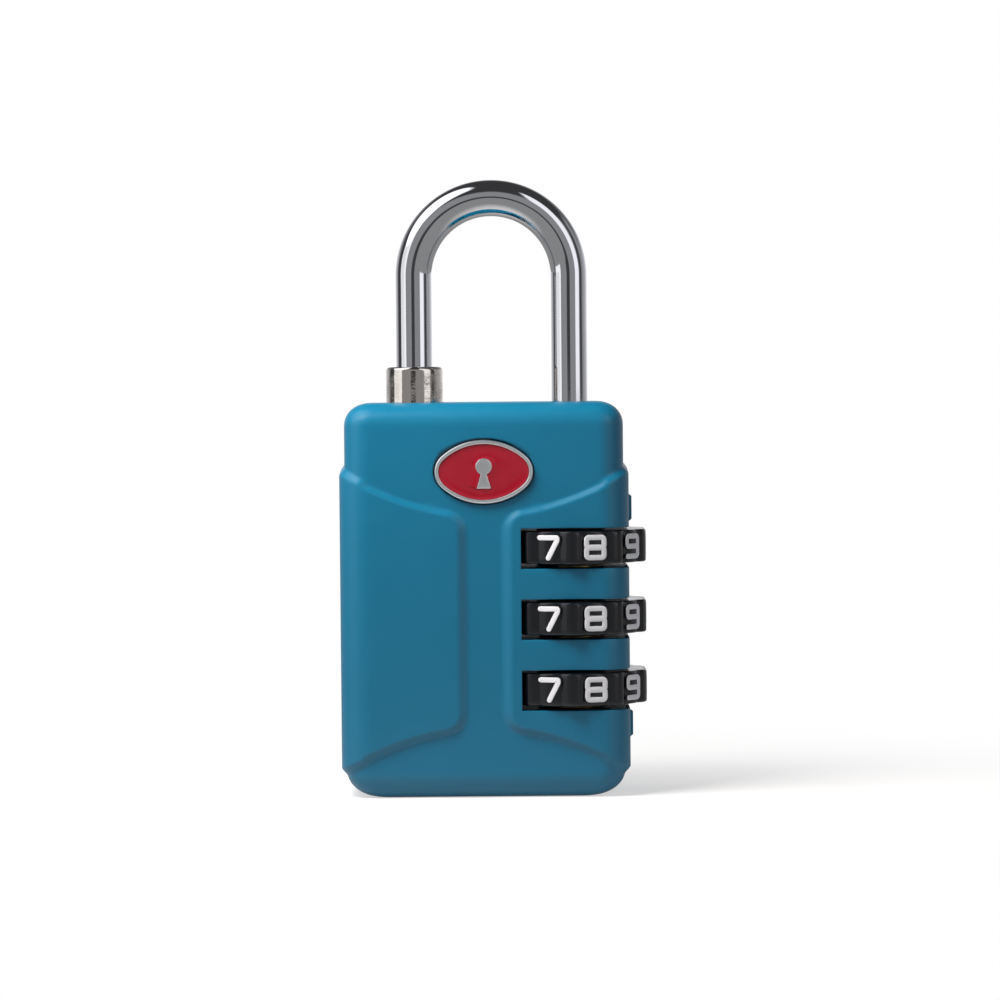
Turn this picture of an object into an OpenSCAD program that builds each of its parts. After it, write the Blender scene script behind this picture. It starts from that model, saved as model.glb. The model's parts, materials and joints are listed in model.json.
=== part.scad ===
// Travel padlock: three number dials on the long leg of the shackle, and a master-key
// cylinder in the left half of the body. Millimetres. +X is to the right, -Y is the front,
// +Z is up, and the origin is the centre of the flat base face.
// It is drawn shut, with the dials at their opening number, 0-0-0 on the right side.

/* [Body] */
// Width of the room left of the dials, which holds the key cylinder and sets the body's width
column_w = 13.42; // [13.2:0.02:20]
// Height of the body
body_h = 41.0; // [40:0.5:52]
// Depth of the body, without the side pads
body_d = 13.0; // [12.5:0.25:17]
// Radius of the two top corners, seen from the front
top_corner_r = 2.1; // [1.5:0.1:3]
// Radius of the two bottom corners, seen from the front
base_corner_r = 2.8; // [1.5:0.1:3]
// Radius of the four upright edges
edge_r = 2.6; // [1.5:0.1:3]
// Radius of the front and back edges of the top
top_edge_r = 2.0; // [1:0.1:2.4]
// Radius of the front and back edges of the base
base_edge_r = 1.9; // [1:0.1:2.4]
// Front and back walls
face_wall = 1.5; // [1.2:0.1:1.8]
// Side walls
side_wall = 1.5; // [1.2:0.1:1.8]
// Top wall
top_wall = 1.6; // [1.2:0.1:2]
// Base wall
base_wall = 1.2; // [1:0.1:1.6]

/* [Side pads] */
// How far the pads stand in front of the body's face, and behind its back
pad_proud = 0.5; // [0.3:0.05:0.8]
// How far the pads stand out of the body's sides
pad_side = 0.55; // [0.3:0.05:0.8]
// Width of the sunk channel between the two pads
channel_w = 4.14; // [3:0.1:5]
// Height of the pads' middle above the base
pad_mid_z = 18.3; // [16:0.1:20]
// Half the height of a pad at the channel, before its corner is rounded
pad_half_h = 11.5; // [10:0.1:12]
// Radius of the long curve of a pad's top and bottom edges
pad_curve_r = 30; // [26:1:40]
// Offset of that curve's centre from the middle, away from the pad
pad_curve_x = 1.2; // [0:0.1:3]
// Radius of a pad's inner corners
pad_corner_r = 2.1; // [1:0.1:3]

/* [Dials] */
// Width of a dial across its flats
dial_af = 15.6; // [15:0.1:18.8]
// How much wider a dial is over its blunted edges than across its flats
dial_edge = 0.56; // [0.2:0.02:0.7]
// Thickness of a dial's rim
dial_t = 3.4; // [3:0.1:4.2]
// Boss on the upper face of a dial, which rides on the body
boss_up = 0.22; // [0.1:0.02:0.4]
// Boss on the lower face of a dial, which rides on the body
boss_down = 0.42; // [0.2:0.02:0.6]
// Play of a dial between its bosses and the body, at each face
dial_play = 0.055; // [0.03:0.005:0.1]
// Body left between two dial slots
rib_t = 3.2; // [3:0.1:4]
// Room under the clip that ends the shackle's rise, down to the base wall
clip_room = 0.525; // [0.4:0.005:2]
// How far the dials stand out of the right-hand pad
dial_proud = 1.8; // [1.2:0.1:2.5]
// Distance from the dials' axis to the left end of a slot on the front face
slot_reach = 5.25; // [5:0.05:6]
// Radial gap between a dial's blunted edges and its pocket
pocket_gap = 0.25; // [0.2:0.05:0.4]
// Numbers on a dial, and so its flats and the grooves of its bore
dial_marks = 10; // [10]

/* [Lock stack] */
// Diameter of a dial's sleeve
sleeve_d = 6.5; // [6.3:0.1:7]
// Wall of a sleeve round its fin chamber
sleeve_wall = 0.5; // [0.4:0.05:0.7]
// Diameter of the finned spindle
spindle_d = 3.4; // [3.2:0.1:3.6]
// How far a fin reaches out of the spindle
fin_reach = 0.8; // [0.6:0.05:0.9]
// Width of a fin
fin_w = 1.0; // [0.8:0.05:1.2]
// Height of a fin
fin_h = 2.2; // [1.8:0.1:2.4]
// Gap between a fin or the spindle and a sleeve's web
fin_gap = 0.1; // [0.08:0.01:0.2]
// Height of a sleeve's web, the part with the keyway
web_h = 3.25; // [3:0.05:3.4]
// Gap between two sleeves, and at each end of their stack
sleeve_gap = 0.05; // [0.03:0.01:0.1]
// Radius of a driving lug on a sleeve
lug_r = 0.35; // [0.3:0.01:0.4]
// Radial clearance of the sleeves and the thrust ring in the body
sleeve_clear = 0.05; // [0.03:0.01:0.08]

/* [Shackle] */
// Diameter of the shackle rod
rod_d = 3.8; // [3.4:0.1:4.6]
// Height of the top of the shackle above the body
shackle_h = 23.25; // [20:0.25:40]
// Distance from the left side of the body to the short leg's centre
leg_inset = 7.3; // [7:0.1:8]
// Radial clearance of the legs in the bush and in the collar
leg_clear = 0.06; // [0.04:0.01:0.1]
// Gap between the tip of the short leg and the collar when the shackle is up
tip_clear = 0.65; // [0.3:0.05:1]
// Height of the collar above the body
collar_h = 3.75; // [3:0.05:4.2]
// Wall of the collar round the short leg
collar_wall = 1.04; // [0.9:0.02:1.2]

/* [Key cylinder] */
// Diameter of the key plug
plug_d = 5.5; // [5.3:0.1:5.8]
// Wall of the cylinder round the plug
cylinder_wall = 1.0; // [0.9:0.05:1.1]
// Radial clearance of the plug in its cylinder
plug_clear = 0.05; // [0.03:0.01:0.08]
// Distance of the cam's pin from the plug's axis
cam_throw = 1.9; // [1.8:0.05:2]
// Diameter of the cam's pin
cam_pin_d = 1.0; // [0.8:0.05:1.1]
// Number of wafers
wafer_count = 5; // [3:1:5]
// Distance between two wafers
wafer_pitch = 3.2; // [2.4:0.1:3.6]
// Thickness of a wafer
wafer_t = 0.6; // [0.4:0.05:0.7]

/* [Badge] */
// Width of the oval badge
badge_w = 10.2; // [8:0.1:10.6]
// Height of the oval badge
badge_h = 6.6; // [5:0.1:7]
// Distance from the top of the body down to the badge's centre
badge_drop = 7.15; // [6.8:0.05:7.4]
// How far the badge's rim stands in front of the body's face
badge_proud = 0.5; // [0.3:0.05:0.7]
// Width of the badge's rim
badge_rim = 0.5; // [0.4:0.05:0.7]
// Radius of the two ends of the oval
badge_end_r = 2.2; // [1.8:0.1:2.4]

/* [Hidden] */
$fn = 64;

small = 0.1;                         // clearance between pieces that stay put
over = 1;                            // how far a cut runs past a face

// The dials and their axis
dial_od = dial_af + dial_edge;
pocket_r = dial_od / 2 + pocket_gap;
pocket_wall = 0.3;                   // left between the dial pockets and the cavity
body_w = column_w + pocket_wall + pocket_r + dial_af / 2 - dial_proud - pad_side + side_wall;
pad_x = body_w / 2 + pad_side;       // the sides of the pads
pad_y = body_d / 2 + pad_proud;      // the faces of the pads
axis_x = pad_x + dial_proud - dial_af / 2;
slot_h = dial_t + boss_up + boss_down + 2 * dial_play;
pitch = slot_h + rib_t;
lift = pitch;                        // the shackle rises by one dial, from chamber to chamber
dial_rise = boss_down + dial_play - slot_h / 2;   // a dial rim's underside from its slot's middle

// The lock stack
sleeve_r = sleeve_d / 2;
chamber_r = sleeve_r - sleeve_wall;
spindle_r = spindle_d / 2;
fin_r = spindle_r + fin_reach;
sleeve_top = slot_h / 2 - 0.3;       // top of a sleeve above its slot's middle
sleeve_len = pitch - sleeve_gap;
clip_t = 0.5;
clip_z = base_wall + clip_room;                   // the clip stops the shackle's rise
web_base_z = clip_z + clip_t + small + lift;      // underside of the lowest web
low_slot_z = web_base_z + web_h - sleeve_top;
slot_z = [low_slot_z + 2 * pitch, low_slot_z + pitch, low_slot_z];
stack_bore_r = sleeve_r + sleeve_clear;
ring_z = slot_z[0] + sleeve_top + sleeve_gap;
ring_top = slot_z[0] + pitch / 2 + fin_h / 2 + 0.35;
ring_lug_r = 4.6;                    // reach of the thrust ring's two lugs
ring_lug_w = 1.5;
ring_lug_h = 1.0;
spindle_foot = clip_z - 0.25;
spring_bore_r = 1.1;                 // blind bore of the spindle
spring_bore_top = 14.5;
tenon_r = 1.0;                       // the spindle's tenon in the long leg
tenon_len = 3.6;

// The shackle
rod_r = rod_d / 2;
long_x = axis_x;
short_x = leg_inset - body_w / 2;
arch_x = (long_x + short_x) / 2;
arch_r = (long_x - short_x) / 2;
arch_z = body_h + shackle_h - rod_r - arch_r;
leg_foot = ring_top + 0.85;          // lower end of the long leg
collar_top = body_h + collar_h;
tip_z = collar_top + tip_clear - lift;
collar_r = rod_r + leg_clear + collar_wall;

// The cavity, shaped like a C round the dials, and the chassis that fills it
cav_x = body_w / 2 - side_wall;
cav_y = body_d / 2 - face_wall;
cav_top = body_h - top_wall;
cav_mid_x = axis_x - pocket_r - pocket_wall;      // right side of the cavity's left column
upper_cav_z = ring_top - ring_lug_h - 0.15;
lower_cav_z = slot_z[2] + sleeve_top - sleeve_len - 0.2;
frame_x = cav_x - small;
frame_y = cav_y - small;
frame_top = cav_top - small;
frame_mid_x = cav_mid_x - small;
seat_z = frame_top - 1.2;            // shoulder under the collar's flange and the leg bush
seat_r = rod_r + 2.0;                // the collar's flange
bush_r = min(cav_x - long_x, cav_y) - small / 2;  // the leg bush, which fills the cavity's room
chamber_clear = 0.2;

// The master-key release
plug_r = plug_d / 2;
cyl_r = plug_r + plug_clear + cylinder_wall;
cyl_x = (frame_mid_x - frame_x) / 2;
arm_z = ring_top + small;            // underside of the release slide's arms
plate_t = 1.0;
yoke_z = arm_z - 5.0;
cyl_top = yoke_z - 1.9;
cyl_foot = 0.35;
plug_foot = 0.45;
plug_head_r = plug_r + 0.45;
flange_r = cyl_r + 0.6;
pin_at = cam_throw * cos(45);        // the cam's pin starts and ends 45 degrees off the Y axis
release_travel = 2 * pin_at;
tang = 1.4;
arm_tip_x = axis_x + ring_lug_w / 2 - small;
arm_in_y = sleeve_r + 0.6;
arm_out_y = frame_y - 0.3;
riser_x = cyl_x + 5.09;
boss_end_x = cyl_x - 1.51;
release_spring_z = yoke_z + 3.05;
slide_y = 3.0;
pocket_y = slide_y + 0.2;

// The posts that join the two shells
post_r = 1.1;
shell_pin_r = 0.5;
post_left_x = post_r + 0.35 - cav_x;
post_mid_x = (cyl_x + cyl_r + axis_x - chamber_r - 0.6) / 2;
posts = [[post_left_x, seat_z - 3.6], [post_mid_x, seat_z - 1.8],
         [post_left_x, 3.9], [post_mid_x, 3.4]];

// The badge
badge_z = body_h - badge_drop;
badge_y = -body_d / 2 - badge_proud; // front of the rim
badge_t = 1.2;
enamel_t = 0.35;
enamel_sunk = 0.1;

// ---- shared shapes ----

// A box given by its limits along X, Y and Z
module block(x, y, z)
  translate([x[0], y[0], z[0]]) cube([x[1] - x[0], y[1] - y[0], z[1] - z[0]]);

// An upright cylinder at x, from z[0] to z[1]
module post(x, r, z) translate([x, 0, z[0]]) cylinder(r = r, h = z[1] - z[0]);

// An upright tube at x
module tube(x, r_in, r_out, z)
  difference() {
    post(x, r_out, z);
    post(x, r_in, [z[0] - over, z[1] + over]);
  }

// A cylinder along Y at (x, z), from y[0] to y[1]
module post_y(x, z, r, y) translate([x, y[1], z]) rotate([90, 0, 0]) cylinder(r = r, h = y[1] - y[0]);

// Rounded rectangle standing on the origin, with its own radius for each pair of corners
module standing_outline(w, h, r_low, r_high) {
  translate([-w / 2, r_low]) square([w, h - r_low - r_high]);
  translate([r_low - w / 2, 0]) square([w - 2 * r_low, h / 2]);
  translate([r_high - w / 2, h / 2]) square([w - 2 * r_high, h / 2]);
  for (s = [-1, 1]) {
    translate([s * (w / 2 - r_low), r_low]) circle(r_low);
    translate([s * (w / 2 - r_high), h - r_high]) circle(r_high);
  }
}

// Rounded rectangle centred on the origin
module plan_outline(w, d, r) {
  square([w - 2 * r, d], center = true);
  square([w, d - 2 * r], center = true);
  for (s = [-1, 1]) for (t = [-1, 1]) translate([s * (w / 2 - r), t * (d / 2 - r)]) circle(r);
}

// An X-Z outline made into a slab of depth d, centred on Y = 0
module slab_xz(d) rotate([90, 0, 0]) linear_extrude(height = d, center = true) children();

// A Y-Z outline made into a slab of width w, centred on X = 0
module slab_yz(w) rotate([90, 0, 90]) linear_extrude(height = w, center = true) children();

// Points of an arc about (x, y), from angle a to just before angle b
function arc(x, y, r, a, b, n) =
  [for (i = [0:n - 1]) let (t = a + (b - a) * i / n) [x + r * cos(t), y + r * sin(t)]];

// Oval of four tangent arcs: two ends of radius r_end and two flatter sides
module oval(w, h, r_end) {
  a = w / 2 - r_end;
  b = h / 2;
  r_side = (a * a + b * b - r_end * r_end) / (2 * (b - r_end));
  t = atan2(r_side - b, a);            // where an end meets a side
  polygon(concat(arc(a, 0, r_end, -t, t, 12), arc(0, b - r_side, r_side, t, 180 - t, 16),
                 arc(-a, 0, r_end, 180 - t, 180 + t, 12),
                 arc(0, r_side - b, r_side, 180 + t, 360 - t, 16)));
}

// Coil of round wire along +Z: six-sided wire, closed at both ends
module coil(mean_r, wire_r, length, turns, steps) {
  n = turns * steps;
  rise = (length - 2 * wire_r) / n;
  rings = [for (i = [0:n]) let (a = 360 * i / steps)
    [for (k = [0:5]) let (b = 60 * k, r = mean_r + wire_r * cos(b))
      [r * cos(a), r * sin(a), wire_r + i * rise + wire_r * sin(b)]]];
  points = [for (ring = rings) for (p = ring) p];
  sides = [for (i = [0:n - 1]) for (k = [0:5])
    [6 * i + k, 6 * i + (k + 1) % 6, 6 * i + 6 + (k + 1) % 6, 6 * i + 6 + k]];
  polyhedron(points, concat(sides, [[5, 4, 3, 2, 1, 0]], [[for (k = [0:5]) 6 * n + k]]));
}

// ---- the body's two shells ----

module core()
  intersection() {
    slab_xz(body_d + 2 * over) standing_outline(body_w, body_h, base_corner_r, top_corner_r);
    slab_yz(body_w + 2 * over) standing_outline(body_d, body_h, base_edge_r, top_edge_r);
    linear_extrude(height = body_h) plan_outline(body_w, body_d, edge_r);
  }

// One pad's outline: a field from the channel to past the side, its top and bottom edges
// arcs that curve away from each other, and its two inner corners rounded
module pad_outline() {
  corner_x = channel_w / 2 + pad_corner_r;
  corner_z = pad_half_h - pad_corner_r;
  curve_z = pad_half_h + sqrt(pow(pad_curve_r, 2) - pow(corner_x + pad_curve_x, 2));
  difference() {
    translate([channel_w / 2, -body_h]) square([body_w, 2 * body_h]);
    for (s = [-1, 1]) {
      translate([-pad_curve_x, s * curve_z]) circle(pad_curve_r, $fn = 180);
      difference() {
        translate([channel_w / 2 - over, s > 0 ? corner_z : -corner_z - 2 * pad_corner_r])
          square([over + pad_corner_r, 2 * pad_corner_r]);
        translate([corner_x, s * corner_z]) circle(pad_corner_r);
      }
    }
    for (s = [0, 1]) mirror([0, s])
      translate([0, curve_z]) square([2 * body_w, body_h]);
  }
}

module pads()
  intersection() {
    linear_extrude(height = body_h) plan_outline(2 * pad_x, 2 * pad_y, edge_r + 0.3);
    for (s = [0, 1]) mirror([s, 0, 0])
      translate([0, 0, pad_mid_z]) slab_xz(2 * pad_y + 2 * over) pad_outline();
  }

// Raised marks on the right side, above and below the dials, where the number is read
module index_marks()
  for (z = [slot_z[0] + slot_h / 2 + 0.4, slot_z[2] - slot_h / 2 - 3.4])
    block([axis_x, pad_x + 0.4], [-0.7, 0.7], [z, z + 3.0]);

module cavity(grow) {
  y = [-cav_y + grow, cav_y - grow];
  side = cav_x - grow;
  low = base_wall + grow;
  high = cav_top - grow;
  block([-side, cav_mid_x - grow], y, [low, high]);
  block([-side, side], y, [upper_cav_z + grow, high]);
  block([-side, side], y, [low, lower_cav_z - grow]);
}

// The slots through which the dials show in front, at the right and behind
module dial_slots()
  for (z = slot_z) {
    block([axis_x - slot_reach, pad_x + over], [-pad_y - over, pad_y + over],
          [z - slot_h / 2, z + slot_h / 2]);
    post(axis_x, pocket_r, [z - slot_h / 2, z + slot_h / 2]);
    block([cav_mid_x - over, axis_x - dial_af / 2 + over], [-1.4, 1.4],
          [z - slot_h / 2, z + slot_h / 2]);
  }

module body_halves()
  difference() {
    union() {
      difference() {
        union() {
          core();
          pads();
          index_marks();
        }
        cavity(0);
      }
      for (p = posts) post_y(p[0], p[1], post_r, [-cav_y - small, cav_y + small]);
    }
    dial_slots();
    post(axis_x, stack_bore_r, [lower_cav_z - over, upper_cav_z + over]);
    post(long_x, rod_r + 0.2, [cav_top - over, body_h + over]);
    post(short_x, collar_r + small / 2, [cav_top - over, body_h + over]);
    post(cyl_x, cyl_r + small, [-over, base_wall + over]);
    for (p = posts) post_y(p[0], p[1], shell_pin_r, [-cav_y, cav_y]);
    translate([0, badge_y + badge_t, badge_z]) rotate([90, 0, 0])
      linear_extrude(height = badge_t + over)
        oval(badge_w + 2 * small, badge_h + 2 * small, badge_end_r + small);
  }

module front_shell()
  color("#256d91") intersection() {
    body_halves();
    block([-body_w, body_w], [-body_d, 0], [-over, body_h + over]);
  }

module rear_shell()
  color("#256d91") intersection() {
    body_halves();
    block([-body_w, body_w], [0, body_d], [-over, body_h + over]);
  }

// Four steel pins pressed into the posts of both shells
module shell_pins()
  color("silver") for (p = posts) post_y(p[0], p[1], shell_pin_r, [small - cav_y, cav_y - small]);

// ---- the inner frame ----

// Die-cast frame: it holds the key cylinder, guides the release slide, and backs the shackle
module chassis()
  color("#8d8f92") difference() {
    cavity(small);
    // key cylinder and its flange
    post(cyl_x, cyl_r + small / 2, [base_wall, cyl_top + small]);
    post(cyl_x, flange_r + small / 2, [base_wall, base_wall + 1.25]);
    // cam and release slide
    difference() {
      block([0.4 - frame_x, frame_mid_x + over], [-pocket_y, pocket_y], [cyl_top + small / 2, arm_z + 1.2]);
      block([-frame_x, boss_end_x], [-1.3, 1.3], [release_spring_z - 1.2, arm_z + 2]);
    }
    block([riser_x - release_travel - 0.3, body_w], [-body_d, body_d], [arm_z - small, arm_z + plate_t + 0.2]);
    // chamber of the thrust ring, and its lugs
    post(axis_x, sleeve_r + chamber_clear, [upper_cav_z, seat_z]);
    block([axis_x - ring_lug_w / 2 - small, axis_x + ring_lug_w / 2 + small],
          [-ring_lug_r - chamber_clear, ring_lug_r + chamber_clear], [upper_cav_z, seat_z]);
    post(axis_x, bush_r + small / 2, [seat_z, body_h]);
    // seat of the collar
    post(short_x, collar_r + small / 2, [tip_z - 1.6, body_h]);
    post(short_x, seat_r + small / 2, [seat_z, body_h]);
    // well of the reset spring
    post(axis_x, stack_bore_r, [base_wall, lower_cav_z]);
    // seat of the detent spring, with two rivet holes
    block([frame_mid_x - 0.3, frame_mid_x + over], [-1.6, 1.6], detent_span);
    for (z = rivet_z) rivet_shape(z, 0.4, -2, 1);
    // clearance round the shells' posts
    for (p = posts) post_y(p[0], p[1], post_r + small, [-body_d, body_d]);
  }

// Nickel-plated collar: the short leg drops into it
module shackle_collar()
  color("#b9bbbd") difference() {
    union() {
      post(short_x, collar_r, [tip_z - 1.5, collar_top - 0.5]);
      post(short_x, seat_r, [seat_z + small / 2, cav_top - small / 2]);
      translate([short_x, 0, collar_top - 0.5]) cylinder(r1 = collar_r, r2 = collar_r - 0.4, h = 0.5);
    }
    post(short_x, rod_r + leg_clear, [tip_z - 3, collar_top + over]);
    translate([short_x, 0, collar_top - 0.3])
      cylinder(r1 = rod_r + leg_clear - 0.05, r2 = rod_r + leg_clear + 0.35, h = 0.4);
  }

// Guide of the long leg, under the top wall
module leg_bush()
  color("#b08d57") tube(long_x, rod_r + leg_clear, bush_r, [seat_z + small / 2, cav_top - small / 2]);

// ---- the shackle and what rises with it ----

module shackle()
  color("#d8dadc") difference() {
    union() {
      translate([arch_x, 0, arch_z]) rotate([90, 0, 0])
        rotate_extrude(angle = 180, $fn = 96) translate([arch_r, 0]) circle(rod_r);
      post(long_x, rod_r, [leg_foot, arch_z]);
      post(short_x, rod_r, [tip_z + 0.5, arch_z]);
      translate([short_x, 0, tip_z]) cylinder(r1 = rod_r - 0.5, r2 = rod_r, h = 0.5);
    }
    post(long_x, tenon_r, [leg_foot - over, leg_foot + tenon_len + small]);
    post_y(long_x, leg_foot + tenon_len / 2, 0.4, [-rod_r - over, rod_r + over]);
  }

// Spindle with one fin in the chamber below each dial's web
module lock_spindle()
  color("#9a9da0") difference() {
    union() {
      post(axis_x, spindle_r, [spindle_foot, leg_foot]);
      post(axis_x, tenon_r, [leg_foot - over, leg_foot + tenon_len]);
      for (z = slot_z)
        block([axis_x, axis_x + fin_r], [-fin_w / 2, fin_w / 2],
              [z - pitch / 2 - fin_h / 2, z - pitch / 2 + fin_h / 2]);
    }
    post(axis_x, spring_bore_r, [spindle_foot - over, spring_bore_top]);
    tube(axis_x, spindle_r - 0.25, spindle_r + over, [clip_z - 0.02, clip_z + clip_t + 0.02]);
    post_y(axis_x, leg_foot + tenon_len / 2, 0.4, [-rod_r, rod_r]);
  }

// Cross pin that joins the spindle to the long leg
module spindle_pin() color("silver") post_y(long_x, leg_foot + tenon_len / 2, 0.4, [0.1 - rod_r, rod_r - 0.1]);

// Clip at the foot of the spindle: it meets the lowest web and stops the shackle
module retaining_clip()
  color("#77797c") difference() {
    tube(axis_x, spindle_r - 0.23, fin_r - 0.1, [clip_z, clip_z + clip_t]);
    block([axis_x, axis_x + 2 * fin_r], [-0.9, 0.9], [clip_z - over, clip_z + over]);
  }

// Spring inside the spindle, which pushes the shackle up
module shackle_spring()
  color("#c9c9c9") translate([axis_x, 0, base_wall + 0.35])
    coil(0.8, 0.15, spring_bore_top - base_wall - 0.45, 14, 12);

// Peg that keeps the shackle's spring upright
module spring_peg()
  color("#c9c9c9") {
    post(axis_x, 1.5, [base_wall, base_wall + 0.2]);
    post(axis_x, 0.5, [base_wall + 0.1, base_wall + 7]);
  }

// ---- the dials and sleeves ----

// Ten-sided ring, its upright edges blunted, bored for a sleeve: the upper half of the bore has
// a groove for each number, and a wider stretch below frees the sleeve to set a new number
module dial(i) {
  z = slot_z[i] + dial_rise;
  inner_r = sleeve_r + sleeve_clear;
  groove_from = dial_t / 2 + 0.2;
  color("#2a2b2e") translate([axis_x, 0, z]) difference() {
    union() {
      intersection() {
        rotate([0, 0, 180 / dial_marks])
          cylinder(r = dial_af / 2 / cos(180 / dial_marks), h = dial_t, $fn = dial_marks);
        cylinder(d = dial_od, h = dial_t);
      }
      translate([0, 0, -boss_down])
        cylinder(r = inner_r + 0.3, h = boss_down + dial_t + boss_up);
    }
    translate([0, 0, -over]) cylinder(r = inner_r, h = dial_t + 2 * over);
    translate([0, 0, 0.3]) cylinder(r = inner_r + 2 * lug_r, h = groove_from - 0.3);
    for (k = [0:dial_marks - 1]) rotate([0, 0, k * 360 / dial_marks])
      translate([sleeve_r, 0, groove_from - small]) cylinder(r = lug_r + 0.05, h = dial_t);
  }
}

module dial_1() dial(0);
module dial_2() dial(1);
module dial_3() dial(2);

// Sleeve of a dial: a web with a keyway for the fin, a fin chamber below it, and two lugs
// that sit in two of the dial's grooves
module sleeve(i) {
  top = slot_z[i] + sleeve_top;
  lug_z = slot_z[i] + dial_rise + dial_t / 2 + 0.3;
  color("#c8a45c") difference() {
    union() {
      post(axis_x, sleeve_r, [top - sleeve_len, top]);
      for (s = [-1, 1]) translate([axis_x + s * sleeve_r, 0, lug_z]) cylinder(r = lug_r, h = 1.2);
    }
    post(axis_x, spindle_r + fin_gap, [top - sleeve_len - over, top + over]);
    post(axis_x, chamber_r, [top - sleeve_len - over, top - web_h]);
    block([axis_x, axis_x + fin_r + 1.5 * fin_gap], [-fin_w / 2 - fin_gap, fin_w / 2 + fin_gap],
          [top - web_h - over, top + over]);
  }
}

module sleeve_1() sleeve(0);
module sleeve_2() sleeve(1);
module sleeve_3() sleeve(2);

// Ring on top of the sleeves: its two lugs lie under the release slide's arms
module thrust_ring()
  color("#c8a45c") difference() {
    union() {
      post(axis_x, sleeve_r, [ring_z, ring_top]);
      block([axis_x - ring_lug_w / 2, axis_x + ring_lug_w / 2], [-ring_lug_r, ring_lug_r],
            [ring_top - ring_lug_h, ring_top]);
    }
    post(axis_x, chamber_r, [ring_z - over, ring_top + over]);
  }

// Spring under the sleeves, which yields when a new number is set
module reset_spring()
  color("#c9c9c9") translate([axis_x, 0, base_wall + small])
    coil(sleeve_r - 0.3, 0.2, lower_cav_z - base_wall + small, 4, 20);

// Leaf with three bowed fingers, which hold the dials on their numbers
bow_h = 1.75;                        // half the height of a finger
bow_out = axis_x - dial_af / 2 - frame_mid_x - 0.05 + 0.3;
bow_r = (pow(bow_h, 2) + pow(bow_out, 2)) / (2 * bow_out);
leaf_t = 0.2;
detent_span = [slot_z[2] - slot_h / 2 - 2.6, slot_z[0] + slot_h / 2 + 1.0];
rivet_z = [slot_z[1] - pitch / 2, slot_z[1] + pitch / 2];

module detent_spring()
  color("#c9c9c9") {
    difference() {
      block([frame_mid_x - 0.3, frame_mid_x - 0.3 + leaf_t], [-1.4, 1.4],
            [detent_span[0] + small, detent_span[1] - small]);
      for (z = rivet_z) rivet_shape(z, 0.45, -1, 1);
    }
    for (z = slot_z) intersection() {
      translate([frame_mid_x - 0.3 + bow_out - bow_r, 0, z]) slab_xz(2.0)
        difference() {
          circle(bow_r);
          circle(bow_r - leaf_t);
        }
      block([frame_mid_x - 0.2, axis_x], [-2, 2], [z - 2 * bow_h, z + 2 * bow_h]);
    }
  }

// A cylinder along X at height z, from x0 to x1 measured from the frame's right side
module rivet_shape(z, r, x0, x1)
  translate([frame_mid_x + x0, 0, z]) rotate([0, 90, 0]) cylinder(r = r, h = x1 - x0);

module detent_rivets()
  color("silver") for (z = rivet_z) {
    rivet_shape(z, 0.4, -1.9, -0.1);
    rivet_shape(z, 0.75, -0.1, 0.05);
  }

// ---- the key cylinder ----

module cylinder_shell()
  color("#c8a45c") difference() {
    union() {
      post(cyl_x, cyl_r, [cyl_foot, cyl_top]);
      post(cyl_x, flange_r, [base_wall + 0.05, base_wall + 1.15]);
    }
    post(cyl_x, plug_r + plug_clear, [-over, cyl_top + over]);
    post(cyl_x, plug_head_r + plug_clear, [-over, plug_foot + 1.0]);
    block([cyl_x - 1.75, cyl_x + 1.75], [-plug_r - 0.4, plug_r + 0.4],
          [wafer_z(0) - 1, wafer_z(wafer_count - 1) + 1]);
  }

function wafer_z(i) = 4.6 + i * wafer_pitch;
wafer_x = 1.6;                       // half the width of a wafer
wafer_y = 2.15;                      // half its length
lug_out = 0.75;                      // reach of its spring lug

module keyway(gap) {
  block([-0.5 - gap, 0.5 + gap], [-2.0, 2.0], [-over, wafer_z(wafer_count - 1) + 1.2]);
  block([-0.9 - gap, 0], [-0.9, -0.2], [-over, wafer_z(wafer_count - 1) + 1.2]);
}

module key_plug()
  color("#c8a45c") translate([cyl_x, 0, 0]) difference() {
    union() {
      post(0, plug_r, [plug_foot, cyl_top + 0.05]);
      post(0, plug_head_r, [plug_foot, plug_foot + 0.95]);
      block([-tang / 2, tang / 2], [-tang / 2, tang / 2], [cyl_top, yoke_z - 0.6]);
      post(0, 0.6, [cyl_top, yoke_z - 0.1]);
    }
    keyway(0);
    for (i = [0:wafer_count - 1]) {
      block([-wafer_x - 0.08, wafer_x + 0.08], [-plug_r - over, plug_r + over],
            [wafer_z(i) - wafer_t / 2 - 0.06, wafer_z(i) + wafer_t / 2 + 0.06]);
      block([0, wafer_x + lug_out + 0.05], [-1.2, 1.0], [wafer_z(i) - 0.45, wafer_z(i) + 0.45]);
    }
    tube(0, 0.42, 0.6 + over, [yoke_z - 0.5, yoke_z - 0.2]);
  }

// Flat wafers, each with a window for the key and a lug for its spring
module wafers()
  color("#b8863c") for (i = [0:wafer_count - 1]) translate([cyl_x, 0, wafer_z(i)]) difference() {
    union() {
      block([-wafer_x, wafer_x], [-wafer_y, wafer_y], [-wafer_t / 2, wafer_t / 2]);
      block([0, wafer_x + lug_out], [0.25, 0.85], [-wafer_t / 2, wafer_t / 2]);
    }
    block([-0.95, 0.7], [-1.2, 1.75 - 0.1 * i], [-over, over]);
  }

module wafer_springs()
  color("#c9c9c9") for (i = [0:wafer_count - 1])
    translate([cyl_x + wafer_x + lug_out / 2 + 0.02, 0.2, wafer_z(i)]) rotate([90, 0, 0])
      coil(0.25, 0.06, 1.36, 4, 10);

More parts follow.
